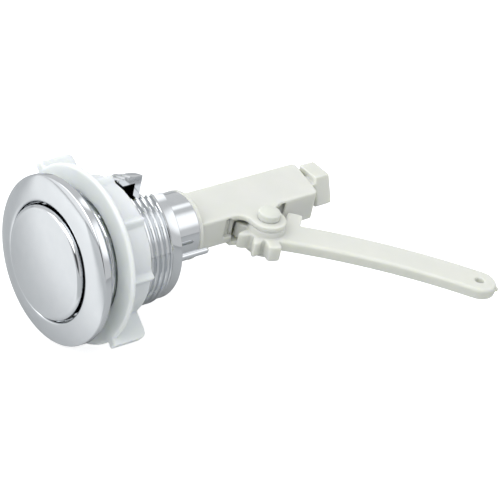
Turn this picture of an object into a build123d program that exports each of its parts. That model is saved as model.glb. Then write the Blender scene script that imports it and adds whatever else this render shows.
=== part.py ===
# Push button cistern actuator: a chrome push button whose rack turns a geared lever
# Frame: the button's axis is Y, the button faces -Y and the tank lies towards +Y.
# The origin is on the axis in the plane of the bezel's back, which seats on the tank wall.
# +Z runs along the pivot pin, +X from the arm towards the lever. Sizes are in millimetres.
import os
from math import acos, atan, cos, hypot, pi, radians, sin, sqrt, tan

from build123d import *

# Rounded edges
arc_steps = 3                # straight runs in each rounded edge

# Bezel
bezel_radius = 25.0
bezel_depth = 3.2            # from the seat to the bezel's front edge
bezel_crown = 1.7            # the inner lip stands this far in front of the edge
bezel_edge_bevel = 0.25
bezel_back_bevel = 0.9
lip_round = 0.8
opening_wall = 1.9           # between the opening and the thread's crests

# Threaded barrel
thread_radius = 19.3
thread_depth = 0.9
thread_pitch = 1.88
barrel_length = 29.1
barrel_wall = 1.9            # behind the thread's roots
barrel_neck = 2.2            # least plain stretch behind the bezel
end_band = 3.4               # plain stretch at the rear
end_band_step = 0.6          # from the thread's crests in to the band
end_wall = 2.3
slot_width = 9.6
slot_length = 16.0           # from the barrel's rear end
slot_floor_gap = 1.3         # from the socket tube out to the slot's floor
slot_angle = 90.0            # in the XZ plane, from +X towards +Z

# Socket tube
tube_radius = 10.4
tube_wall = 1.6
tube_length = 13.0
tube_root_round = 2.4

# Push button
press_travel = 6.0
button_gap = 0.4             # between cap and bezel, all round
button_proud = 1.4           # the cap's edge stands this far in front of the lip
cap_dome = 1.2               # height of the dome above its edge
cap_edge_round = 1.5
cap_rim = 2.4
cap_floor = 1.5
stop_gap = 0.2               # left under the rim when the button is fully in
skirt_gap = 0.4
skirt_wall = 1.1
skirt_length = 10.0
boss_radius = 6.0
boss_length = 15.0
rod_socket = 8.0             # depth of the rod's socket in the boss
leg_radius = 1.0
leg_skirt_gap = 0.4
leg_hole_gap = 0.3
leg_reach = 13.7             # length of a leg behind the barrel
hook_side_gap = 1.3
hook_barb = 1.2
hook_barb_length = 3.4
hook_rest_gap = 0.2

# Return spring
spring_ledge = 1.3           # the end wall's edge, inside the spring
spring_wire_radius = 0.5
spring_turns = 7
spring_steps = 12            # straight runs of wire in one turn
spring_wire_sides = 6
closed_coil_gap = 0.15       # between the closed coils at each end
spring_seat_gap = 0.1

# Lock nut
nut_bore_gap = 0.3
nut_setback = 4.9            # from the seat to the flange
flange_radius = 26.6
flange_thickness = 1.4
flange_bevel = 0.5
collar_wall = 1.4
nut_length = 11.3
rib_height = 1.9
rib_width = 4.4
rib_round = 0.6
wing_radius = 28.8
wing_thickness = 3.2
wing_corner = 2.0
wing_angle = -37.0
grip_pitch = 45.0            # wings and ribs share one even spacing

# Rack guide arm
lip_step = 0.1               # the lip stands this far out from the tube
lip_thickness = 1.4
spigot_length = 9.0
press_gap = 0.02
arm_half_width = 8.0
arm_half_height = 4.9
arm_length = 49.0            # along its far side
arm_corner = 0.6
arm_end_slant = 3.8          # the pinion's side ends this much earlier
arm_end_round = 1.5          # on the two upright edges of the open end
arm_front_wall = 1.6
arm_side_wall = 1.0          # on the pinion's side
arm_back_wall = 2.2
arm_top_wall = 1.1
slide_gap = 0.3
window_half = 11.5           # half the window's length, along the arm
window_sill = 2.4            # from the arm's underside to the window

# Pivot
pin_setback = 21.5           # from the arm's front end
pin_radius = 2.0
pin_bore_gap = 0.08
pin_head_radius = 3.35
pin_head_rim = 2.2
pin_head_dome = 1.0
pin_tail = 0.5
upper_ear_radius = 5.5
upper_ear_thickness = 1.8
lower_ear_radius = 4.5
lower_ear_thickness = 1.4
ear_root_round = 3.6
ear_gap = 0.3

# Rack and pinion
pinion_teeth = 9             # full circle, five of them cut
pitch_radius = 7.6
pressure_angle = 25.0
pinion_addendum = 1.8
rack_addendum = 1.2
root_gap = 0.35
backlash = 0.3
pinion_height = 5.2
pocket_gap = 0.3             # from the tooth tips out to the arm's pocket
hub_step = 0.55              # from the tooth roots in to the hub
hub_rise = 2.2               # from the teeth up to the upper ear
tooth_places = range(-1, 4)  # cut teeth, in pitches from the rack's side
gap_places = range(-2, 2)    # cut rack gaps, in pitches from the pin
rod_radius = 3.0
rod_bore_gap = 0.4
bar_front_gap = 11.1         # from the arm's front wall to the bar
bar_end_gap = 5.0            # from the bar to the arm's open end
neck_half_width = 2.4
neck_half_height = 3.2
head_gap = 0.9               # from the arm's end to the head
head_length = 6.1
head_back = 6.4
head_front = 4.8
head_half_height = 4.7
head_shoulder = 1.2          # x where the top's slope starts
head_nose_drop = 3.4         # from the axis down to the head's widest place
head_under = 3.6             # x where the underside ends
head_bevel = 0.8

# Lever
lever_reach = 64.6           # from the pin to the tip hole
lever_angle = 42.6           # from +X, at rest
lever_bow = 2.7
lever_width = 10.4
lever_thickness = 3.6
lever_edge_bevel = 0.6
tip_hole_radius = 1.4
gate_radius = 0.6
gate_length = 0.8
stop_tooth_angle = -20.0
stop_tooth_radius = 9.7
stop_tooth_width = 4.2
stop_tooth_round = 1.0
heel_near = 5.0              # along the lever, from the pin
heel_far = 9.6
heel_height = 12.2           # sideways from the lever's line
heel_round = 0.9

# Places that several pieces share
corner_bulge = 1 - sqrt(0.5)  # of a quarter round, in radii
circular_pitch = 2 * pi * pitch_radius / pinion_teeth
base_radius = pitch_radius * cos(radians(pressure_angle))
thread_root = thread_radius - thread_depth
thread_end = barrel_length - end_band
opening_radius = thread_radius - opening_wall
barrel_bore_radius = thread_root - barrel_wall
lip_front = -bezel_depth - bezel_crown
cap_radius = opening_radius - button_gap
cap_edge = lip_front - button_proud
rim_back = cap_edge + cap_rim
counterbore_floor = rim_back + press_travel + stop_gap
cap_inside = cap_edge + cap_floor
skirt_radius = barrel_bore_radius - skirt_gap
skirt_inside = skirt_radius - skirt_wall
skirt_end = rim_back + skirt_length
boss_end = cap_inside + boss_length
wall_front = barrel_length - end_wall
slot_front = barrel_length - slot_length
slot_floor_radius = tube_radius + slot_floor_gap
hook_width = slot_width - 2 * hook_side_gap
leg_angle = slot_angle - 90
leg_circle = skirt_inside - leg_radius - leg_skirt_gap
tube_bore = tube_radius - tube_wall
spring_radius = tube_bore + spring_ledge + spring_wire_radius
nut_bore = thread_radius + nut_bore_gap
collar_radius = nut_bore + collar_wall
tube_end = barrel_length + tube_length
arm_start = tube_end + lip_thickness
arm_end = arm_start + arm_length
rack_tip = arm_half_width - arm_side_wall - slide_gap
rack_back = arm_half_width - arm_back_wall - slide_gap
rack_half_height = arm_half_height - arm_top_wall - slide_gap
rack_bar_start = arm_start + arm_front_wall + bar_front_gap
rack_bar_end = arm_end - bar_end_gap
pitch_line = rack_tip - rack_addendum
pin_x = pitch_line + pitch_radius
pin_y = arm_start + pin_setback
rack_root = pitch_line - pinion_addendum - root_gap
pinion_root = pitch_radius - rack_addendum - root_gap
pinion_tip = pitch_radius + pinion_addendum
hub_radius = pinion_root - hub_step
upper_ear_bottom = arm_half_height - upper_ear_thickness
pinion_top = upper_ear_bottom - hub_rise
pinion_bottom = pinion_top - pinion_height
lower_ear_top = pinion_bottom - 2 * ear_gap
lower_ear_bottom = lower_ear_top - lower_ear_thickness
pin_place = Pos(pin_x, pin_y, 0)


def arc_points(start, end, bulge):
    """Points of an arc that stands off to the right of its chord, without its end point."""
    chord = (end[0] - start[0], end[1] - start[1])
    length = hypot(*chord)
    half_turn = 2 * atan(2 * bulge / length)
    points = []
    for step in range(arc_steps):
        turn = half_turn * (2 * step / arc_steps - 1)
        along = 0.5 + sin(turn) / sin(half_turn) / 2
        aside = (cos(turn) - cos(half_turn)) / sin(half_turn) / 2
        x = start[0] + along * chord[0] + aside * chord[1]
        y = start[1] + along * chord[1] - aside * chord[0]
        points.append((x, y))
    return points


def turned(points):
    """Turn a closed outline of the XY plane about the Y axis."""
    return revolve(make_face(Polyline(*points, close=True)), Axis.Y, 360)


def around_axis(shape, angle):
    """Swing a shape about the Y axis, counting from +X towards +Z."""
    return shape.rotate(Axis.Y, -angle)


def along_y(sketch, start, end):
    """Extrude a sketch drawn as (x, z) from one Y place to another."""
    plane = Plane(origin=(0, start, 0), x_dir=(1, 0, 0), z_dir=(0, -1, 0))
    return extrude(plane * sketch, end - start, dir=(0, 1, 0))


def along_z(sketch, low, high):
    """Extrude a sketch of the XY plane from one height to another."""
    return extrude(Pos(0, 0, low) * sketch, high - low, dir=(0, 0, 1))


def block(x_range, y_range, z_range):
    """A box given by its limits along each axis."""
    low, high = zip(x_range, y_range, z_range)
    size = [b - a for a, b in zip(low, high)]
    return Pos(*low) * Box(*size, align=(Align.MIN, Align.MIN, Align.MIN))


def y_cylinder(radius, start, end):
    """A round bar along the Y axis."""
    return along_y(Circle(radius), start, end)


# Housing: bezel, threaded barrel, end wall and socket tube in one moulding
def thread_outline():
    """Points of the thread's crests and roots, from the neck to the plain end band."""
    turns = int((thread_end - barrel_neck) / thread_pitch)
    start = thread_end - turns * thread_pitch
    points = [(thread_radius, start - thread_depth), (thread_root, start)]
    for turn in range(turns):
        crest = start + (turn + 0.5) * thread_pitch
        points.append((thread_radius, crest))
        points.append((thread_root, start + (turn + 1) * thread_pitch))
    return points


def housing():
    lip_low = (opening_radius, lip_front + lip_round)
    lip_top = (opening_radius + lip_round, lip_front)
    edge_front = (bezel_radius - bezel_edge_bevel, -bezel_depth)
    root_start = (tube_radius + tube_root_round, barrel_length)
    root_end = (tube_radius, barrel_length + tube_root_round)
    outline = [
        *arc_points(lip_low, lip_top, lip_round * corner_bulge),
        *arc_points(lip_top, edge_front, bezel_crown / 4),
        edge_front,
        (bezel_radius, -bezel_depth + bezel_edge_bevel),
        (bezel_radius, -bezel_back_bevel),
        (bezel_radius - bezel_back_bevel, 0),
        (thread_radius, 0),
        *thread_outline(),
        (thread_radius - end_band_step, thread_end),
        (thread_radius - end_band_step, barrel_length),
        *arc_points(root_start, root_end, -tube_root_round * corner_bulge),
        root_end,
        (tube_radius, tube_end),
        (tube_bore, tube_end),
        (tube_bore, wall_front),
        (barrel_bore_radius, wall_front),
        (barrel_bore_radius, counterbore_floor),
        (opening_radius, counterbore_floor),
    ]
    body = turned(outline)
    for turn in (0, 180):
        slot = block(
            (slot_floor_radius, bezel_radius),
            (slot_front, barrel_length + tube_root_round),
            (-slot_width / 2, slot_width / 2),
        )
        body -= around_axis(slot, slot_angle + turn)
        leg_hole = y_cylinder(leg_radius + leg_hole_gap, wall_front, barrel_length + tube_root_round)
        body -= around_axis(Pos(leg_circle, 0, 0) * leg_hole, leg_angle + turn)
    return body


# Push button: domed cap with its skirt, boss, snap hooks and guide legs
def push_button():
    dome_top = (0, cap_edge - cap_dome)
    dome_edge = (cap_radius - cap_edge_round, cap_edge)
    cap_side = (cap_radius, cap_edge + cap_edge_round)
    outline = [
        *arc_points(dome_top, dome_edge, cap_dome / 4),
        *arc_points(dome_edge, cap_side, cap_edge_round * corner_bulge),
        cap_side,
        (cap_radius, rim_back),
        (skirt_radius, rim_back),
        (skirt_radius, skirt_end),
        (skirt_inside, skirt_end),
        (skirt_inside, cap_inside),
        (boss_radius, cap_inside),
        (boss_radius, boss_end),
        (rod_radius + press_gap, boss_end),
        (rod_radius + press_gap, boss_end - rod_socket),
        (0, boss_end - rod_socket),
    ]
    body = turned(outline)
    barb_front = slot_front + hook_rest_gap
    barb_end = barb_front + hook_barb_length
    hook_outline = Polyline(
        (skirt_inside, rim_back),
        (skirt_inside, barb_end),
        (skirt_radius, barb_end),
        (skirt_radius + hook_barb, barb_front + hook_barb),
        (skirt_radius + hook_barb, barb_front),
        (skirt_radius, barb_front),
        (skirt_radius, rim_back),
        close=True,
    )
    hook = along_z(make_face(hook_outline), -hook_width / 2, hook_width / 2)
    inner_core = y_cylinder(skirt_inside, rim_back, barb_end)
    outer_limit = y_cylinder(skirt_radius, rim_back, barb_front)
    hook = (hook - inner_core) & (outer_limit + y_cylinder(bezel_radius, barb_front, barb_end))
    leg_tip = barrel_length + leg_reach
    leg_outline = [
        (0, cap_inside),
        (leg_radius, cap_inside),
        (leg_radius, leg_tip - leg_radius),
        (leg_radius / 2, leg_tip),
        (0, leg_tip),
    ]
    leg = Pos(leg_circle, 0, 0) * turned(leg_outline)
    for turn in (0, 180):
        body += around_axis(hook, slot_angle + turn)
        body += around_axis(leg, leg_angle + turn)
    return body


# Return spring: coil with closed ends, between the cap and the end wall
def spring_rise(turn, height):
    """Height of the wire after this many turns, with one closed coil at each end."""
    closed = 2 * spring_wire_radius + closed_coil_gap
    if turn <= 1:
        return closed * turn
    if turn >= spring_turns - 1:
        return height - closed * (spring_turns - turn)
    return closed + (height - 2 * closed) * (turn - 1) / (spring_turns - 2)


def return_spring():
    start = cap_inside + spring_wire_radius + spring_seat_gap
    height = wall_front - spring_wire_radius - spring_seat_gap - start
    wire = RegularPolygon(spring_wire_radius, spring_wire_sides)
    sections = []
    for step in range(spring_turns * spring_steps + 1):
        turn = step / spring_steps
        section = Plane.XY * Pos(spring_radius, start + spring_rise(turn, height)) * wire
        sections.append(around_axis(section, 360 * turn))
    return loft(sections, ruled=True)


# Lock nut: rimmed flange, collar, grip ribs and two wings
def lock_nut():
    front = nut_setback
    back = front + nut_length
    outline = [
        (nut_bore, front),
        (flange_radius - flange_bevel, front),
        (flange_radius, front + flange_bevel),
        (flange_radius, front + flange_thickness),
        (collar_radius, front + flange_thickness),
        (collar_radius, back),
        (nut_bore, back),
    ]
    body = turned(outline)
    rib_base = collar_radius - rib_height / 2
    rib_outline = Polygon(
        (rib_base, -rib_width / 2),
        (collar_radius + rib_height, 0),
        (rib_base, rib_width / 2),
        align=None,
    )
    rib_outline = fillet(rib_outline.vertices().group_by(Axis.X)[-1], rib_round)
    rib = along_y(rib_outline, front, back)
    wing_root = (nut_bore + collar_radius) / 2
    wing_outline = Pos((wing_root + wing_radius) / 2, (front + back) / 2) * Rectangle(
        wing_radius - wing_root, back - front
    )
    wing_outline = fillet(wing_outline.vertices().sort_by(Axis.X)[-2:].sort_by(Axis.Y)[-1], wing_corner)
    wing = along_z(wing_outline, -wing_thickness / 2, wing_thickness / 2)
    places = int(360 / grip_pitch)
    for place in range(places):
        grip = wing if place % (places // 2) == 0 else rib
        body += around_axis(grip, wing_angle + place * grip_pitch)
    return body


# Rack guide: spigot, lip and box arm with a side window and two ears
def ear_outline(radius):
    """A stretch of the arm's plan with a round ear reaching out to the pin."""
    root_width = 2 * arm_half_width - arm_corner
    root = Pos(arm_corner / 2, pin_y) * Rectangle(root_width, 2 * (radius + ear_root_round + ear_gap))
    neck = Pos(pin_x / 2, pin_y) * Rectangle(pin_x, 2 * radius)
    outline = root + neck + pin_place * Circle(radius)
    corners = [v for v in outline.vertices() if abs(abs(v.Y - pin_y) - radius) < 0.01]
    return fillet([v for v in corners if v.X < pin_x - 0.01], ear_root_round)


def rack_guide():
    section = RectangleRounded(2 * arm_half_width, 2 * arm_half_height, arm_corner)
    plan = Polygon(
        (-arm_half_width, arm_start),
        (arm_half_width, arm_start),
        (arm_half_width, arm_end - arm_end_slant),
        (-arm_half_width, arm_end),
        align=None,
    )
    plan = fillet(plan.vertices().sort_by(Axis.Y)[-2:], arm_end_round)
    body = along_y(section, arm_start, arm_end) & along_z(plan, -arm_half_height, arm_half_height)
    channel_height = rack_half_height + slide_gap
    body -= block(
        (0, arm_half_width),
        (pin_y - window_half, pin_y + window_half),
        (window_sill - arm_half_height, channel_height),
    )
    body += along_z(ear_outline(upper_ear_radius), upper_ear_bottom, arm_half_height)
    body += along_z(ear_outline(lower_ear_radius), lower_ear_bottom, lower_ear_top)
    body -= along_z(pin_place * Circle(pinion_tip + pocket_gap), lower_ear_top, upper_ear_bottom)
    body -= block(
        (-rack_back - slide_gap, rack_tip + slide_gap),
        (arm_start + arm_front_wall, arm_end),
        (-channel_height, channel_height),
    )
    body += y_cylinder(tube_radius + lip_step, tube_end, arm_start)
    body += y_cylinder(tube_bore - press_gap, tube_end - spigot_length, tube_end)
    body -= y_cylinder(rod_radius + rod_bore_gap, tube_end - spigot_length, arm_start + arm_front_wall)
    pin_hole = pin_place * Circle(pin_radius + press_gap)
    body -= along_z(pin_hole, lower_ear_bottom, arm_half_height)
    return body


# Rack: round front rod, toothed bar, neck and sloped end head
def rack():
    body = y_cylinder(rod_radius, boss_end - rod_socket + stop_gap, rack_bar_start)
    bar = (rack_bar_start, rack_bar_end)
    body += block((-rack_back, rack_root), bar, (-rack_half_height, rack_half_height))
    body += block((0, rack_tip), bar, (-rack_half_height, pinion_top))
    head_start = arm_end + head_gap
    body += block(
        (-neck_half_width, neck_half_width),
        (rack_bar_end, head_start),
        (-neck_half_height, neck_half_height),
    )
    head_outline = Polygon(
        (-head_back, -head_half_height),
        (head_under, -head_half_height),
        (head_front, -head_nose_drop),
        (head_shoulder, head_half_height),
        (-head_back, head_half_height),
        align=None,
    )
    head = along_y(head_outline, head_start, head_start + head_length)
    head = chamfer(head.faces().sort_by(Axis.Y)[-1].edges(), head_bevel)
    body += head
    slope = tan(radians(pressure_angle))
    gap_half = circular_pitch / 4 + backlash / 2
    tip_half = gap_half + rack_addendum * slope
    root_half = gap_half - (pitch_line - rack_root) * slope
    for place in gap_places:
        gap_y = pin_y + place * circular_pitch
        gap = Polygon(
            (rack_tip, gap_y - tip_half),
            (rack_root, gap_y - root_half),
            (rack_root, gap_y + root_half),
            (rack_tip, gap_y + tip_half),
            align=None,
        )
        body -= along_z(gap, -rack_half_height, pinion_top)
    return body


# Lever and pinion: one moulding that turns on the pin
def involute_angle(radius):
    """How far the flank has turned in at this radius, from the pitch circle's flank."""

    def involute(r):
        angle = acos(base_radius / r)
        return tan(angle) - angle

    return involute(radius) - involute(pitch_radius)


def tooth_outline():
    """One pinion tooth pointing along +X, with involute flanks and a round tip."""
    half = (circular_pitch / 4 - backlash / 4) / pitch_radius
    steps = 4
    flank = []
    for step in range(steps + 1):
        radius = base_radius + (pinion_tip - root_gap - base_radius) * step / steps
        angle = half - involute_angle(radius)
        flank.append((radius * cos(angle), radius * sin(angle)))
    mirrored = [(x, -y) for x, y in flank]
    foot = pinion_root * cos(half)
    return make_face(
        Curve()
        + [
            Line((foot, flank[0][1]), flank[0]),
            Spline(*flank),
            ThreePointArc(flank[-1], (pinion_tip, 0), mirrored[-1]),
            Spline(*reversed(mirrored)),
            Line(mirrored[0], (foot, mirrored[0][1])),
            Line((foot, mirrored[0][1]), (foot, flank[0][1])),
        ]
    )


def lever_gear():
    rest = Rot(0, 0, lever_angle)
    pinion = Circle(pinion_root)
    for place in tooth_places:
        pinion += Rot(0, 0, 180 + place * 360 / pinion_teeth) * tooth_outline()
    stop_tooth = Pos(stop_tooth_radius / 2, 0) * Rectangle(stop_tooth_radius, stop_tooth_width)
    stop_tooth = fillet(stop_tooth.vertices().group_by(Axis.X)[-1], stop_tooth_round)
    pinion += Rot(0, 0, stop_tooth_angle) * stop_tooth
    body = along_z(pinion, pinion_bottom, pinion_top)
    body += along_z(Circle(hub_radius), pinion_bottom - ear_gap, upper_ear_bottom - ear_gap)

    lever_bottom = pinion_top - lever_thickness
    line = SagittaArc((0, 0), (lever_reach, 0), lever_bow)
    blade = trace(line, lever_width) + Pos(lever_reach, 0) * Circle(lever_width / 2)
    blade = along_z(rest * blade, lever_bottom, pinion_top)
    top_edges = [e for e in blade.edges() if abs(e.center().Z - pinion_top) < 0.01]
    blade = chamfer([e for e in top_edges if e.length > lever_width + 0.01], lever_edge_bevel)
    heel = Pos((heel_near + heel_far) / 2, heel_height / 2) * Rectangle(heel_far - heel_near, heel_height)
    heel = fillet(heel.vertices().group_by(Axis.Y)[-1], heel_round)
    body += blade
    body += along_z(rest * heel, lever_bottom, pinion_top)
    gate = Pos(lever_reach + lever_width / 2 - gate_length, 0) * Rectangle(
        2 * gate_length, 2 * gate_radius, align=(Align.MIN, Align.CENTER)
    )
    gate_middle = lever_bottom + lever_thickness / 2
    body += along_z(rest * gate, gate_middle - gate_radius, gate_middle + gate_radius)
    tip_hole = rest * Pos(lever_reach, 0) * Circle(tip_hole_radius)
    body -= along_z(tip_hole, lever_bottom, pinion_top)
    body -= along_z(Circle(pin_radius + pin_bore_gap), pinion_bottom - ear_gap, upper_ear_bottom)
    return pin_place * body


# Pivot pin: straight shank with a domed head
def pivot_pin():
    head_rim = arm_half_height + pin_head_rim
    head_top = head_rim + pin_head_dome
    tail = lower_ear_bottom - pin_tail
    outline = [
        (0, tail),
        (pin_radius - pin_tail, tail),
        (pin_radius, tail + pin_tail),
        (pin_radius, arm_half_height),
        (pin_head_radius, arm_half_height),
        *arc_points((pin_head_radius, head_rim), (0, head_top), pin_head_dome / 4),
        (0, head_top),
    ]
    return pin_place * Rot(90, 0, 0) * turned(outline)


pieces = {
    "housing": housing,
    "push_button": push_button,
    "return_spring": return_spring,
    "lock_nut": lock_nut,
    "rack_guide": rack_guide,
    "rack": rack,
    "lever_gear": lever_gear,
    "pivot_pin": pivot_pin,
}

os.makedirs("parts", exist_ok=True)
for name, make in pieces.items():
    export_step(make(), f"parts/{name}.step")
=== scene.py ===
# Push button cistern actuator: the finished pieces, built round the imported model
from math import atan2, cos, pi, radians, sin, sqrt, tau

import bmesh
import bpy
from mathutils import Matrix, Vector


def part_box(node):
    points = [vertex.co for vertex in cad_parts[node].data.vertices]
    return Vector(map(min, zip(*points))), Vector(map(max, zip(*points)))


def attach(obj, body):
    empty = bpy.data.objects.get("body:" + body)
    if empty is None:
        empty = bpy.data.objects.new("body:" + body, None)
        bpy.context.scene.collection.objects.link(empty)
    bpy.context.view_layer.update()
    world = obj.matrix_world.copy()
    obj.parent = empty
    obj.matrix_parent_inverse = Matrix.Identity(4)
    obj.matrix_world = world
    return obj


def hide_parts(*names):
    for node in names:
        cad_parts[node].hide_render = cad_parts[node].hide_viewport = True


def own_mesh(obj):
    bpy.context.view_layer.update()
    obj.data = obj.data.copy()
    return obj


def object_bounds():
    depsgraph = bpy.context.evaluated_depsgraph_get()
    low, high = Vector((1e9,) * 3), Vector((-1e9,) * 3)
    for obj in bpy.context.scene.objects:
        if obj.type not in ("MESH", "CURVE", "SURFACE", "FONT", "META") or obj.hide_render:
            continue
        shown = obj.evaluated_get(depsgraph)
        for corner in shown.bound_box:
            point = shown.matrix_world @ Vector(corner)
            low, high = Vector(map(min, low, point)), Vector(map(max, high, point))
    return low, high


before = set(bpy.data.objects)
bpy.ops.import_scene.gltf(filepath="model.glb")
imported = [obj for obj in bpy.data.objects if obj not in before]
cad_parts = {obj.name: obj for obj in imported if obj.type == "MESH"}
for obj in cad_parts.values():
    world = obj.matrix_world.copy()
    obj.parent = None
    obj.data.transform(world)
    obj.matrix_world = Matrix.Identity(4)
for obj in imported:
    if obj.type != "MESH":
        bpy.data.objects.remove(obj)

cad_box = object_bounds()

# Housing: bezel, threaded barrel, end wall and socket tube, one injection moulding in ABS that is
# electroplated with bright chrome. The tank wall is clamped between the bezel and the lock nut.
mm = 0.001
bezel_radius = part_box("housing")[1].x
lip_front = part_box("housing")[0].y
tube_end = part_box("housing")[1].y
opening_radius = 17.5 * mm
lip_width = 0.8 * mm
lip_round = 0.8 * mm
face_drop = 1.7 * mm
face_bulge = 0.25 * mm
face_steps = 14
bezel_edge_round = 0.5 * mm
bezel_back_bevel = 0.9 * mm
thread_radius = 19.3 * mm
thread_depth = 0.9 * mm
thread_pitch = 1.88 * mm
thread_root_share = 0.14
thread_flank_share = 0.5
thread_start = 3.1 * mm
thread_end = 25.7 * mm
thread_runout = 0.6 * thread_pitch
thread_rows = 16
band_radius = 18.7 * mm
barrel_end = 29.1 * mm
wall_front = 26.8 * mm
barrel_bore = 16.5 * mm
counterbore_floor = 2.3 * mm
tube_radius = 10.4 * mm
tube_bore = 8.8 * mm
tube_root_round = 2.4 * mm
slot_width = 9.6 * mm
slot_front = 13.1 * mm
slot_floor = 11.7 * mm
slot_angles = (radians(90), radians(270))
leg_angles = (0, pi)
leg_circle = 13.6 * mm
leg_radius = 1.0 * mm
leg_hole_gap = 0.3 * mm
edge_break = 0.15 * mm
sharp_angle = radians(35)
turning_columns = 288


def linear(code):
    """Linear RGBA of an sRGB hex colour."""
    parts = [int(code[i : i + 2], 16) / 255 for i in (1, 3, 5)]
    return [c / 12.92 if c <= 0.04045 else ((c + 0.055) / 1.055) ** 2.4 for c in parts] + [1.0]


def add_node(tree, kind, sockets=None, links=None, **properties):
    """Add a shader node with its properties, socket values and links from other sockets."""
    node = tree.nodes.new("ShaderNode" + kind)
    for name, value in properties.items():
        setattr(node, name, value)
    for name, value in (sockets or {}).items():
        node.inputs[name].default_value = value
    for name, source in (links or {}).items():
        tree.links.new(source, node.inputs[name])
    return node


def chrome_plated_abs():
    """Decorative chrome over moulded ABS: a cool mirror, a little wavy from the plastic under it."""
    wave_width = 7 * mm
    wave_height = 0.05 * mm
    smear_width = 3 * mm
    material = bpy.data.materials.new("chrome_plated_abs")
    material.use_nodes = True
    tree = material.node_tree
    shader = tree.nodes["Principled BSDF"]
    shader.inputs["Metallic"].default_value = 1.0
    place = add_node(tree, "TexCoord").outputs["Object"]
    waves = add_node(tree, "TexNoise", {"Scale": 1 / wave_width, "Detail": 1.0}, {"Vector": place})
    smears = add_node(tree, "TexNoise", {"Scale": 1 / smear_width, "Detail": 4.0}, {"Vector": place})
    smeared = smears.outputs["Fac"]
    tint = add_node(tree, "ValToRGB", links={"Fac": smeared})
    tint.color_ramp.elements[0].color = linear("#CFD2D5")
    tint.color_ramp.elements[1].color = linear("#D8DADC")
    gloss = add_node(tree, "MapRange", {"To Min": 0.05, "To Max": 0.10}, {"Value": smeared})
    relief = add_node(
        tree, "Bump", {"Strength": 0.05, "Distance": wave_height}, {"Height": waves.outputs["Fac"]}
    )
    tree.links.new(tint.outputs["Color"], shader.inputs["Base Color"])
    tree.links.new(gloss.outputs["Result"], shader.inputs["Roughness"])
    tree.links.new(relief.outputs["Normal"], shader.inputs["Normal"])
    return material


def eased(corners, steps=5):
    """Points of an outline of (radius, y, round) corners, with each round drawn as a tangent arc."""
    points = []
    for index, (x, y, round_size) in enumerate(corners):
        if round_size == 0:
            points.append((x, y))
            continue
        here = Vector((x, y))
        before = (Vector(corners[index - 1][:2]) - here).normalized()
        after = (Vector(corners[(index + 1) % len(corners)][:2]) - here).normalized()
        half = before.angle(after) / 2
        sweep = pi - 2 * half
        middle = here + (before + after).normalized() * (round_size / sin(half))
        first = here + before * (round_size * cos(half) / sin(half)) - middle
        last = here + after * (round_size * cos(half) / sin(half)) - middle
        for step in range(steps + 1):
            part = step / steps
            along = (first * sin((1 - part) * sweep) + last * sin(part * sweep)) / sin(sweep)
            points.append(tuple(middle + along))
    return points


def turned(outline, closed=True, columns=turning_columns, radius_at=None):
    """Mesh of a (radius, y) outline turned about the Y axis; points on the axis become poles."""
    mesh = bmesh.new()
    rings = []
    for radius, y in outline:
        if radius < 1e-9:
            rings.append([mesh.verts.new((0, y, 0))] * columns)
            continue
        ring = []
        for column in range(columns):
            angle = tau * column / columns
            reach = radius_at(radius, y, angle) if radius_at else radius
            ring.append(mesh.verts.new((reach * cos(angle), y, reach * sin(angle))))
        rings.append(ring)
    last = len(rings) if closed else len(rings) - 1
    for row in range(last):
        low, high = rings[row], rings[(row + 1) % len(rings)]
        for column in range(columns):
            following = (column + 1) % columns
            corners = [low[column], low[following], high[following], high[column]]
            mesh.faces.new(dict.fromkeys(corners))
    bmesh.ops.recalc_face_normals(mesh, faces=mesh.faces)
    return mesh


def thread(radius, y, angle):
    """Radius of the barrel's right-hand thread, fading out at both of its ends."""
    if radius != thread_radius or not thread_start < y < thread_end:
        return radius
    phase = (y / thread_pitch + angle / tau) % 1
    flank = min(max((1 - abs(2 * phase - 1) - thread_root_share) / thread_flank_share, 0), 1)
    cut = thread_radius - thread_depth * (1 - flank)
    fade_in = min((y - thread_start) / thread_pitch, 1)
    fade_out = min((thread_end - y) / thread_runout, 1)
    cut = thread_radius + (cut - thread_radius) * fade_in
    return band_radius + (cut - band_radius) * fade_out


def add_piece(name, mesh):
    """Object from a bmesh, smooth apart from its sharp edges."""
    data = bpy.data.meshes.new(name)
    mesh.to_mesh(data)
    mesh.free()
    data.shade_smooth()
    data.set_sharp_from_angle(angle=sharp_angle)
    piece = bpy.data.objects.new(name, data)
    bpy.context.scene.collection.objects.link(piece)
    return piece


def settled(piece):
    """Make the piece's modifiers part of its mesh."""
    graph = bpy.context.evaluated_depsgraph_get()
    data = bpy.data.meshes.new_from_object(piece.evaluated_get(graph))
    piece.modifiers.clear()
    piece.data = data


def dress(piece, material, body, node):
    """Give the piece its material and put it in place of its CAD node."""
    piece.data.materials.clear()
    piece.data.materials.append(material)
    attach(piece, body)
    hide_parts(node)


def swung(angle):
    """Turn about the Y axis, from +X towards +Z."""
    return Matrix.Rotation(-angle, 4, "Y")


def box_mesh(low, high, matrix):
    """A box between two corners, moved by a matrix."""
    mesh = bmesh.new()
    size = Vector(high) - Vector(low)
    middle = (Vector(high) + Vector(low)) / 2
    place = matrix @ Matrix.Translation(middle) @ Matrix.Diagonal(size.to_4d())
    bmesh.ops.create_cube(mesh, size=1, matrix=place)
    return mesh


def rod_mesh(radius, start, end, matrix, columns=40, ball_steps=8):
    """A round rod along Y whose far end is a half ball."""
    outline = [(0, start), (radius, start)]
    for step in range(ball_steps):
        angle = pi / 2 * step / ball_steps
        outline.append((radius * cos(angle), end - radius + radius * sin(angle)))
    outline.append((0, end))
    mesh = turned(outline, closed=False, columns=columns)
    bmesh.ops.transform(mesh, matrix=matrix, verts=mesh.verts)
    return mesh


face_inner = opening_radius + lip_width
face_outer = bezel_radius - bezel_edge_round
face_width = face_outer - face_inner


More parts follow.
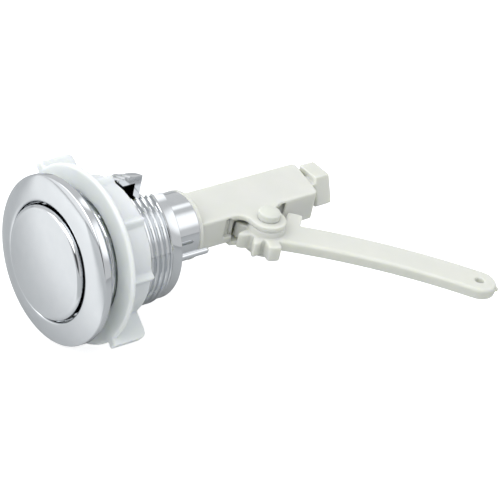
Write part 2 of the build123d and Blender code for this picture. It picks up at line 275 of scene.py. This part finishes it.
def face_y(radius):
    """Height of the bezel's convex face at a radius."""
    share = (face_outer - radius) / face_width
    return lip_front + face_drop * (1 - share) - 4 * face_bulge * share * (1 - share)


bezel_face = [face_inner + face_width * step / face_steps for step in range(1, face_steps)]
housing_corners = [
    (opening_radius, face_y(opening_radius), lip_round),
    *[(radius, face_y(radius), 0) for radius in bezel_face],
    (bezel_radius, face_y(bezel_radius), bezel_edge_round),
    (bezel_radius, -bezel_back_bevel, edge_break),
    (bezel_radius - bezel_back_bevel, 0, edge_break),
    (thread_radius, 0, edge_break),
]
thread_length = thread_end - thread_start
row_count = round(thread_length / thread_pitch * thread_rows)
for row in range(row_count):
    housing_corners.append((thread_radius, thread_start + thread_length * row / row_count, 0))
housing_corners += [
    (band_radius, thread_end, 0),
    (band_radius, barrel_end, 2 * edge_break),
    (tube_radius, barrel_end, tube_root_round),
    (tube_radius, tube_end, edge_break),
    (tube_bore, tube_end, edge_break),
    (tube_bore, wall_front, edge_break),
    (barrel_bore, wall_front, edge_break),
    (barrel_bore, counterbore_floor, edge_break),
    (opening_radius, counterbore_floor, edge_break),
]
housing = add_piece("chrome_housing", turned(eased(housing_corners), radius_at=thread))
cut_end = barrel_end + tube_root_round
cutters = []
for angle in slot_angles:
    low = (slot_floor, slot_front, -slot_width / 2)
    high = (bezel_radius, cut_end, slot_width / 2)
    cutters.append(add_piece("slot_cutter", box_mesh(low, high, swung(angle))))
for angle in leg_angles:
    place = swung(angle) @ Matrix.Translation((leg_circle, 0, 0))
    hole = rod_mesh(leg_radius + leg_hole_gap, wall_front - leg_radius, cut_end, place)
    cutters.append(add_piece("leg_hole_cutter", hole))
for cutter in cutters:
    cut = housing.modifiers.new(cutter.name, "BOOLEAN")
    cut.operation = "DIFFERENCE"
    cut.solver = "EXACT"
    cut.object = cutter
settled(housing)
for cutter in cutters:
    bpy.data.objects.remove(cutter)
housing.data.set_sharp_from_angle(angle=sharp_angle)
chrome = chrome_plated_abs()
dress(housing, chrome, "housing", "housing")

# Push button: domed cap, skirt, boss, two snap hooks and two guide legs, one moulding in ABS,
# chrome plated. It slides in the barrel and its hooks keep it from coming out at the front.
cap_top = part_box("push_button")[0].y
leg_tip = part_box("push_button")[1].y
cap_radius = 16.85 * mm
cap_dome = 1.2 * mm
cap_edge_width = 1.5 * mm
cap_edge_drop = 0.1 * mm
cap_edge_round = 0.9 * cap_edge_width
cap_edge = cap_top + cap_dome
rim_back = cap_edge + 2.4 * mm
cap_inside = cap_edge + 1.5 * mm
skirt_radius = 16.1 * mm
skirt_inside = 15.0 * mm
skirt_end = rim_back + 10 * mm
boss_radius = 6.0 * mm
boss_end = cap_inside + 15 * mm
rod_socket_radius = 3.02 * mm
rod_socket_depth = 8.0 * mm
hook_width = 7.0 * mm
hook_front = 13.3 * mm
hook_length = 3.4 * mm
hook_barb = 1.2 * mm
dome_steps = 24
cap_round_steps = 8


def merge(mesh, extra):
    """Add another bmesh to a bmesh."""
    spare = bpy.data.meshes.new("spare")
    extra.to_mesh(spare)
    extra.free()
    mesh.from_mesh(spare)
    bpy.data.meshes.remove(spare)


dome_reach = cap_radius - cap_edge_width
dome_radius = (dome_reach**2 + cap_dome**2) / (2 * cap_dome)
cap_corners = []
for step in range(dome_steps + 1):
    radius = dome_reach * step / dome_steps
    cap_corners.append((radius, cap_top + dome_radius - sqrt(dome_radius**2 - radius**2), 0))
cap_corners += [
    (cap_radius, cap_edge + cap_edge_drop, cap_edge_round),
    (cap_radius, rim_back, edge_break),
    (skirt_radius, rim_back, edge_break),
    (skirt_radius, skirt_end, edge_break),
    (skirt_inside, skirt_end, edge_break),
    (skirt_inside, cap_inside, edge_break),
    (boss_radius, cap_inside, edge_break),
    (boss_radius, boss_end, edge_break),
    (rod_socket_radius, boss_end, edge_break),
    (rod_socket_radius, boss_end - rod_socket_depth, 0),
    (0, boss_end - rod_socket_depth, 0),
]
button_mesh = turned(eased(cap_corners, steps=cap_round_steps), closed=False)
extras = []
for angle in leg_angles:
    place = swung(angle) @ Matrix.Translation((leg_circle, 0, 0))
    extras.append(rod_mesh(leg_radius, cap_inside, leg_tip, place))
for angle in slot_angles:
    arm_low = (skirt_inside, rim_back, -hook_width / 2)
    arm_high = (skirt_radius - edge_break, hook_front + hook_length, hook_width / 2)
    extras.append(box_mesh(arm_low, arm_high, swung(angle)))
    barb_low = (skirt_inside + edge_break, hook_front, -hook_width / 2)
    barb_high = (skirt_radius + hook_barb, hook_front + hook_length - edge_break, hook_width / 2)
    barb = box_mesh(barb_low, barb_high, Matrix())
    for vert in barb.verts:
        if vert.co.x > skirt_radius and vert.co.y > hook_front + hook_barb:
            vert.co.x = skirt_radius
    bmesh.ops.transform(barb, matrix=swung(angle), verts=barb.verts)
    extras.append(barb)
for extra in extras:
    merge(button_mesh, extra)
button = add_piece("chrome_button", button_mesh)
dress(button, chrome, "button", "push_button")

# Return spring: drawn stainless wire coiled with closed ends, held between the cap and the end wall.
# In use it is pressed shorter as the button goes in; this coil keeps its rest length.
spring_low, spring_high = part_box("return_spring")
wire_radius = 0.5 * mm
coil_radius = spring_high.x - wire_radius
coil_turns = 7
closed_pitch = 1.15 * mm
steps_per_turn = 48
wire_sides = 12


def spring_steel():
    """Drawn stainless spring wire: a satin grey metal with fine marks from the drawing die."""
    mark_width = 0.4 * mm
    material = bpy.data.materials.new("spring_steel")
    material.use_nodes = True
    tree = material.node_tree
    shader = tree.nodes["Principled BSDF"]
    shader.inputs["Metallic"].default_value = 1.0
    place = add_node(tree, "TexCoord").outputs["Object"]
    marks = add_node(tree, "TexNoise", {"Scale": 1 / mark_width, "Detail": 3.0}, {"Vector": place})
    tint = add_node(tree, "ValToRGB", links={"Fac": marks.outputs["Fac"]})
    tint.color_ramp.elements[0].color = linear("#8E9093")
    tint.color_ramp.elements[1].color = linear("#B4B6B8")
    gloss = add_node(tree, "MapRange", {"To Min": 0.22, "To Max": 0.4}, {"Value": marks.outputs["Fac"]})
    tree.links.new(tint.outputs["Color"], shader.inputs["Base Color"])
    tree.links.new(gloss.outputs["Result"], shader.inputs["Roughness"])
    return material


def coil_rise(turn, height):
    """Height of the wire's middle after this many turns."""
    if turn <= 1:
        return closed_pitch * turn
    if turn >= coil_turns - 1:
        return height - closed_pitch * (coil_turns - turn)
    return closed_pitch + (height - 2 * closed_pitch) * (turn - 1) / (coil_turns - 2)


coil_start = spring_low.y + wire_radius
coil_height = spring_high.y - wire_radius - coil_start
coil = bmesh.new()
rings = []
for step in range(coil_turns * steps_per_turn + 1):
    turn = step / steps_per_turn
    outward = Vector((cos(tau * turn), 0, sin(tau * turn)))
    middle = outward * coil_radius + Vector((0, coil_start + coil_rise(turn, coil_height), 0))
    ring = []
    for side in range(wire_sides):
        angle = tau * side / wire_sides
        offset = outward * cos(angle) + Vector((0, sin(angle), 0))
        ring.append(coil.verts.new(middle + offset * wire_radius))
    rings.append(ring)
for low, high in zip(rings, rings[1:]):
    for side in range(wire_sides):
        following = (side + 1) % wire_sides
        coil.faces.new((low[side], low[following], high[following], high[side]))
coil.faces.new(rings[0])
coil.faces.new(reversed(rings[-1]))
bmesh.ops.recalc_face_normals(coil, faces=coil.faces)
spring = add_piece("coil_spring", coil)
dress(spring, spring_steel(), "housing", "return_spring")
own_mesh(spring)

# Lock nut: rimmed flange, collar, grip ribs and two wings, one moulding in white polypropylene.
# It is screwed up the barrel by hand until its flange clamps the tank wall.
nut_voxel = 0.3 * mm


def moulded_plastic(name, light, dark, roughness):
    """Moulded plastic: milky, as light sinks in, with faint clouds of colour and a soft grained shine."""
    light_depth = 2.2 * mm
    cloud_width = 14 * mm
    grain_width = 0.35 * mm  # coarser than a real eroded mould's, so that it shows
    grain_height = 0.02 * mm
    gloss_spread = 0.06
    material = bpy.data.materials.new(name)
    material.use_nodes = True
    tree = material.node_tree
    shader = tree.nodes["Principled BSDF"]
    shader.inputs["IOR"].default_value = 1.49
    shader.inputs["Subsurface Weight"].default_value = 1.0
    shader.inputs["Subsurface Scale"].default_value = light_depth
    shader.inputs["Subsurface Radius"].default_value = (1.0, 1.0, 0.8)
    place = add_node(tree, "TexCoord").outputs["Object"]
    clouds = add_node(tree, "TexNoise", {"Scale": 1 / cloud_width, "Detail": 2.0}, {"Vector": place})
    grain = add_node(tree, "TexNoise", {"Scale": 1 / grain_width, "Detail": 2.0}, {"Vector": place})
    tint = add_node(tree, "ValToRGB", links={"Fac": clouds.outputs["Fac"]})
    tint.color_ramp.elements[0].position = 0.3
    tint.color_ramp.elements[1].position = 0.7
    tint.color_ramp.elements[0].color = linear(dark)
    tint.color_ramp.elements[1].color = linear(light)
    gloss = add_node(
        tree,
        "MapRange",
        {"To Min": roughness - gloss_spread, "To Max": roughness + gloss_spread},
        {"Value": grain.outputs["Fac"]},
    )
    relief = add_node(
        tree, "Bump", {"Strength": 0.08, "Distance": grain_height}, {"Height": grain.outputs["Fac"]}
    )
    tree.links.new(tint.outputs["Color"], shader.inputs["Base Color"])
    tree.links.new(gloss.outputs["Result"], shader.inputs["Roughness"])
    tree.links.new(relief.outputs["Normal"], shader.inputs["Normal"])
    return material


def softened(name, node, voxel, passes, keep=0.45, added=()):
    """A CAD node's form and any forms added to it, with its corners eased as a mould leaves them."""
    weld_distance = 0.001 * mm
    mesh = bmesh.new()
    mesh.from_mesh(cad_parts[node].data)
    for extra in added:
        merge(mesh, extra)
    bmesh.ops.remove_doubles(mesh, verts=mesh.verts, dist=weld_distance)
    piece = add_piece(name, mesh)
    grid = piece.modifiers.new("grid", "REMESH")
    grid.mode = "VOXEL"
    grid.voxel_size = voxel
    ease = piece.modifiers.new("ease", "SMOOTH")
    ease.factor = 0.5
    ease.iterations = passes
    thin = piece.modifiers.new("thin", "DECIMATE")
    thin.ratio = keep
    settled(piece)
    piece.data.shade_smooth()
    return piece


nut = softened("lock_nut_moulding", "lock_nut", nut_voxel, passes=5)
polypropylene = moulded_plastic("white_polypropylene", "#E0E4E5", "#DCE0E1", 0.34)
dress(nut, polypropylene, "nut", "lock_nut")

# Rack guide: spigot, lip and box-section arm with a side window and two ears for the pivot, one
# moulding in ivory acetal. Its spigot is pressed into the housing's socket tube, and a block beside
# the rack's rod fills the front of the window.
arm_voxel = 0.26 * mm
block_low = (3.5 * mm, 45.2 * mm, -3.9 * mm)
block_high = (6.6 * mm, 56.15 * mm, 2.5 * mm)
window_block = box_mesh(block_low, block_high, Matrix())
guide = softened("rack_guide_moulding", "rack_guide", arm_voxel, passes=9, added=[window_block])
acetal = moulded_plastic("ivory_acetal", "#D9DAD4", "#D4D6CF", 0.38)
dress(guide, acetal, "housing", "rack_guide")

# Rack: round front rod, toothed bar, neck and sloped end head, one moulding in ivory acetal.
# The rod is pressed into the button's boss and the bar slides in the arm, with a ledge over its teeth.
ledge_low = (3.0 * mm, 56.2 * mm, 1.05 * mm)
ledge_high = (6.5 * mm, 84 * mm, 2.5 * mm)
tooth_ledge = box_mesh(ledge_low, ledge_high, Matrix())
rack_piece = softened("rack_moulding", "rack", arm_voxel, passes=6, added=[tooth_ledge])
dress(rack_piece, acetal, "button", "rack")

# Lever and pinion: five gear teeth, a stop tooth, a heel and the long bowed lever with its tip hole,
# one moulding in ivory acetal. It turns on the pivot pin, its hub's face close under the upper ear,
# and lifts the flush valve's chain.
lever_voxel = 0.2 * mm
pin_place = Vector((13.1, 65.0, 0)) * mm
hub_radius = 5.3 * mm
hub_low = 2.4 * mm
hub_high = 3.02 * mm
tooth_root = 6.4 * mm
toothless_from, toothless_to = -0.03, 2.2
hub_outline = [(0, hub_low), (hub_radius, hub_low), (hub_radius, hub_high), (0, hub_high)]
hub_face = turned(hub_outline, closed=False, columns=64)
upright = Matrix.Translation(pin_place) @ Matrix.Rotation(pi / 2, 4, "X")
bmesh.ops.transform(hub_face, matrix=upright, verts=hub_face.verts)
lever = softened("lever_moulding", "lever_gear", lever_voxel, passes=20, added=[hub_face])
teeth = lever.vertex_groups.new(name="teeth")
for vert in lever.data.vertices:
    spoke = (vert.co - pin_place).xy
    plain = toothless_from < atan2(spoke.y, spoke.x) < toothless_to
    teeth.add([vert.index], 1.0 if spoke.length > tooth_root and not plain else 0.0, "REPLACE")
ease = lever.modifiers.new("ease", "SMOOTH")
ease.vertex_group = teeth.name
ease.iterations = 40
settled(lever)
lever.data.shade_smooth()
dress(lever, acetal, "lever", "lever_gear")

# Pivot pin: straight shank with a domed head, moulded in white acetal and pressed through both ears.
# The lever's hub turns on it.
pin_voxel = 0.12 * mm
pin = softened("pivot_pin_moulding", "pivot_pin", pin_voxel, passes=24)
white_acetal = moulded_plastic("white_acetal", "#D6D8D2", "#D2D5CE", 0.3)
dress(pin, white_acetal, "housing", "pivot_pin")

# Stage: a pale paper floor with painted shade, a pale room and two large soft lights, as in a product
# photo. The chrome mirrors the shade painted on the paper and the room's bright and dim parts.
floor_level = cad_box[0].z
floor_half = 6.0
paper_glow = 0.8
mottle_width = 40 * mm
mottle_reach = 4 * mm
# Each zone of shade painted on the paper: the way in which it deepens, where on that way it starts and is
# full, and how full.
painted_shade_zones = (
    ((-0.35, 0.94, 0), -38 * mm, 8 * mm, 0.6),
    ((0.93, -0.37, 0), 32 * mm, 56 * mm, 0.6),
)


def paper_with_painted_shade():
    """Matt background paper, pale in front with painted shade beside and behind, and a painted glow that
    lights it to white where it is seen, hiding its shadows.
    """
    material = bpy.data.materials.new("background_paper_painted_shade")
    material.use_nodes = True
    tree = material.node_tree
    shader = tree.nodes["Principled BSDF"]
    shader.inputs["Roughness"].default_value = 0.9
    shader.inputs["Specular IOR Level"].default_value = 0.1
    shader.inputs["Emission Color"].default_value = linear("#FFFFFF")
    place = add_node(tree, "TexCoord").outputs["Object"]
    mottle = add_node(tree, "TexNoise", {"Scale": 1 / mottle_width, "Detail": 2.0}, {"Vector": place})
    shares = []
    # Painted shadow: zones beside and behind the object are coloured darker in place of its shadow on the
    # paper, for the chrome to mirror.
    for way, start, end, fullness in painted_shade_zones:
        along = add_node(tree, "VectorMath", {1: way}, {0: place}, operation="DOT_PRODUCT")
        wander = add_node(
            tree,
            "Math",
            {1: mottle_reach},
            {0: mottle.outputs["Fac"], 2: along.outputs["Value"]},
            operation="MULTIPLY_ADD",
        )
        share = add_node(
            tree,
            "MapRange",
            {"From Min": start, "From Max": end, "To Max": fullness},
            {"Value": wander.outputs["Value"]},
            interpolation_type="SMOOTHSTEP",
        )
        shares.append(share.outputs["Result"])
    grey = add_node(tree, "Math", links={0: shares[0], 1: shares[1]}, operation="MAXIMUM")
    tint = add_node(tree, "ValToRGB", links={"Fac": grey.outputs["Value"]})
    tint.color_ramp.elements[0].color = linear("#F1F2F2")
    tint.color_ramp.elements[1].color = linear("#8A8D90")
    # Painted glow: the paper gives off white light where it is seen directly, which hides its shadows and
    # its painted shade.
    seen = add_node(tree, "LightPath").outputs["Is Camera Ray"]
    glow = add_node(tree, "Math", {1: paper_glow}, {0: seen}, operation="MULTIPLY")
    tree.links.new(tint.outputs["Color"], shader.inputs["Base Color"])
    tree.links.new(glow.outputs["Value"], shader.inputs["Emission Strength"])
    return material


floor_mesh = bmesh.new()
bmesh.ops.create_grid(floor_mesh, x_segments=1, y_segments=1, size=floor_half)
floor = add_piece("floor", floor_mesh)
floor.location.z = floor_level
floor.data.materials.append(paper_with_painted_shade())

world = bpy.data.worlds.new("pale_room")
bpy.context.scene.world = world
world.use_nodes = True
room = world.node_tree
room_level = 0.82
# Each part of the room: its direction, the degrees from its middle to the end of its even core and to
# the end of its soft edge, and its brightness.
room_parts = (
    ((-0.20, 0.60, 0.77), 4, 12, 2.0),
    ((0.50, 0.60, 0.62), 12, 26, 1.7),
    ((-0.59, -0.80, 0.08), 8, 40, 1.3),
    ((0.50, -0.80, 0.30), 14, 36, 0.1),
)
toward = add_node(room, "TexCoord").outputs["Generated"]
lit = {}
for middle, core, edge, level in room_parts:
    facing = add_node(room, "VectorMath", {1: middle}, {0: toward}, operation="DOT_PRODUCT")
    share = add_node(
        room,
        "MapRange",
        {"From Min": cos(radians(edge)), "From Max": cos(radians(core))},
        {"Value": facing.outputs["Value"]},
        interpolation_type="SMOOTHSTEP",
    )
    blend = add_node(
        room, "Mix", {"A": room_level, "B": level}, {"Factor": share.outputs["Result"], **lit}
    )
    lit = {"A": blend.outputs["Result"]}
room.links.new(lit["A"], room.nodes["Background"].inputs["Strength"])
room.nodes["Background"].inputs["Color"].default_value = linear("#F5F6F7")
light_target = Vector((0.01, 0.04, 0))


def softbox(name, place, size, power):
    """A square soft light at a place, aimed at the object."""
    light = bpy.data.lights.new(name, "AREA")
    light.shape = "SQUARE"
    light.size = size
    light.energy = power
    lamp = bpy.data.objects.new(name, light)
    lamp.location = place
    aim = light_target - lamp.location
    lamp.rotation_mode = "QUATERNION"
    lamp.rotation_quaternion = aim.to_track_quat("-Z", "Y")
    bpy.context.scene.collection.objects.link(lamp)


softbox("key_light", (0.12, -0.58, 0.75), size=0.8, power=6)
softbox("fill_light", (-0.6, -0.9, 0.7), size=0.8, power=2.5)

# Camera: a long lens at the photograph's viewing angle, with plain colours.
camera_place = (0.4470, -0.3825, 0.3945)
camera_right = Vector((0.6159, 0.7668, 0.1809))
camera_up = Vector((-0.5242, 0.2274, 0.8206))
camera_data = bpy.data.cameras.new("camera")
camera_data.lens = 180
camera_data.sensor_width = 36
camera = bpy.data.objects.new("camera", camera_data)
camera_back = camera_right.cross(camera_up)
camera_turn = Matrix((camera_right, camera_up, camera_back)).transposed().to_4x4()
camera.matrix_world = Matrix.Translation(camera_place) @ camera_turn
bpy.context.scene.collection.objects.link(camera)
bpy.context.scene.camera = camera
bpy.context.scene.view_settings.view_transform = "Standard"
